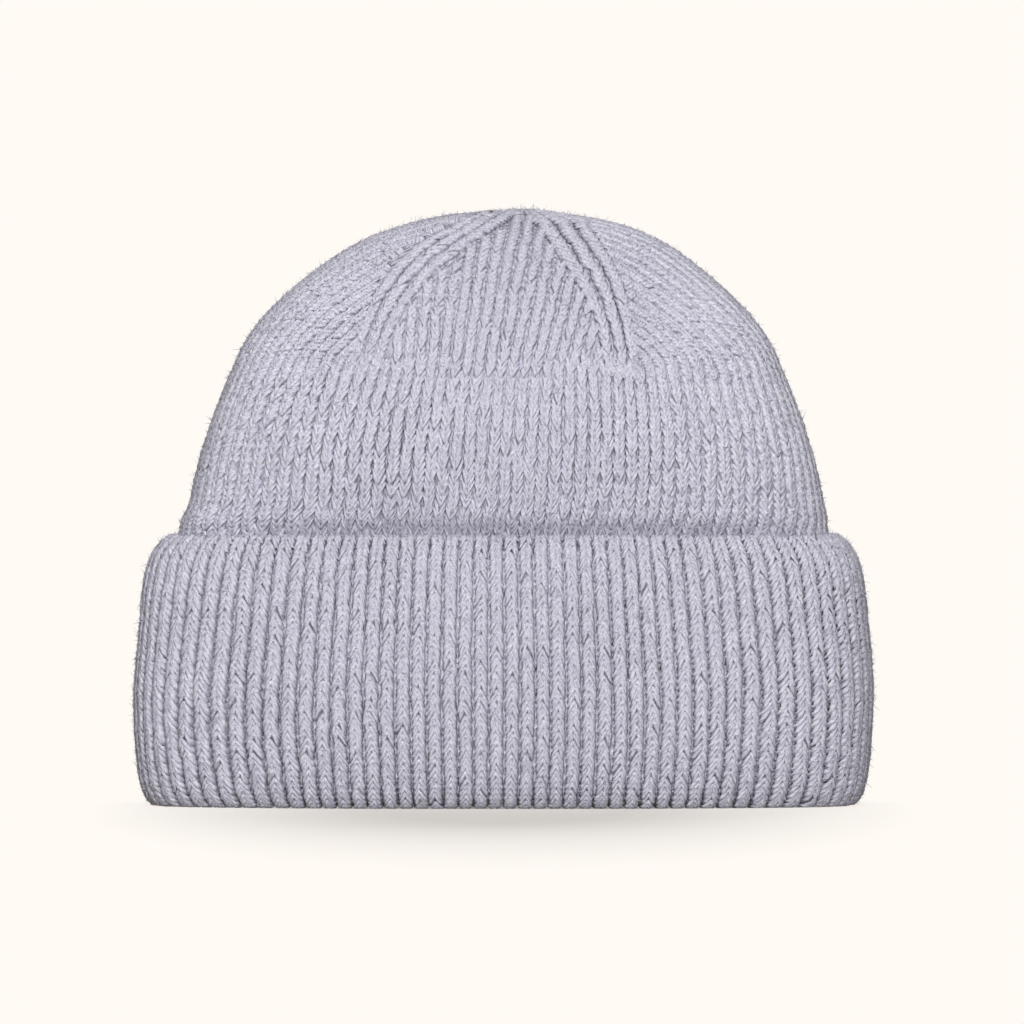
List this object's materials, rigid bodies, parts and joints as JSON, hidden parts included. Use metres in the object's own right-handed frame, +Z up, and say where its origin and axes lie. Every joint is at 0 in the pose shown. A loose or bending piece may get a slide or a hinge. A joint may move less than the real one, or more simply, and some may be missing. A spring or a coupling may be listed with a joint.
{
  "type": "cuffed knit hat",
  "caption": "Soft knit hat with a domed stocking-stitch crown, gathered to a point by decrease lines, and a deep ribbed turned-up cuff.",
  "frame": {"origin": "middle of the rim, on the surface that the hat stands on", "axes": "+X to the right across the hat's width as seen from its front, +Y towards its back, +Z up to the apex; the front faces -Y"},
  "size_m": [0.2396, 0.131, 0.194],
  "materials": {
    "crown_knit": "soft heathered pale lilac-grey yarn in stocking stitch, matt with a short light fuzz",
    "cuff_knit": "the same pale lilac-grey yarn in a deep one-by-one rib, matt with a short light fuzz"
  },
  "bodies": {
    "root": {"crown": "crown_knit", "cuff": "cuff_knit"}
  },
  "joints": []
}
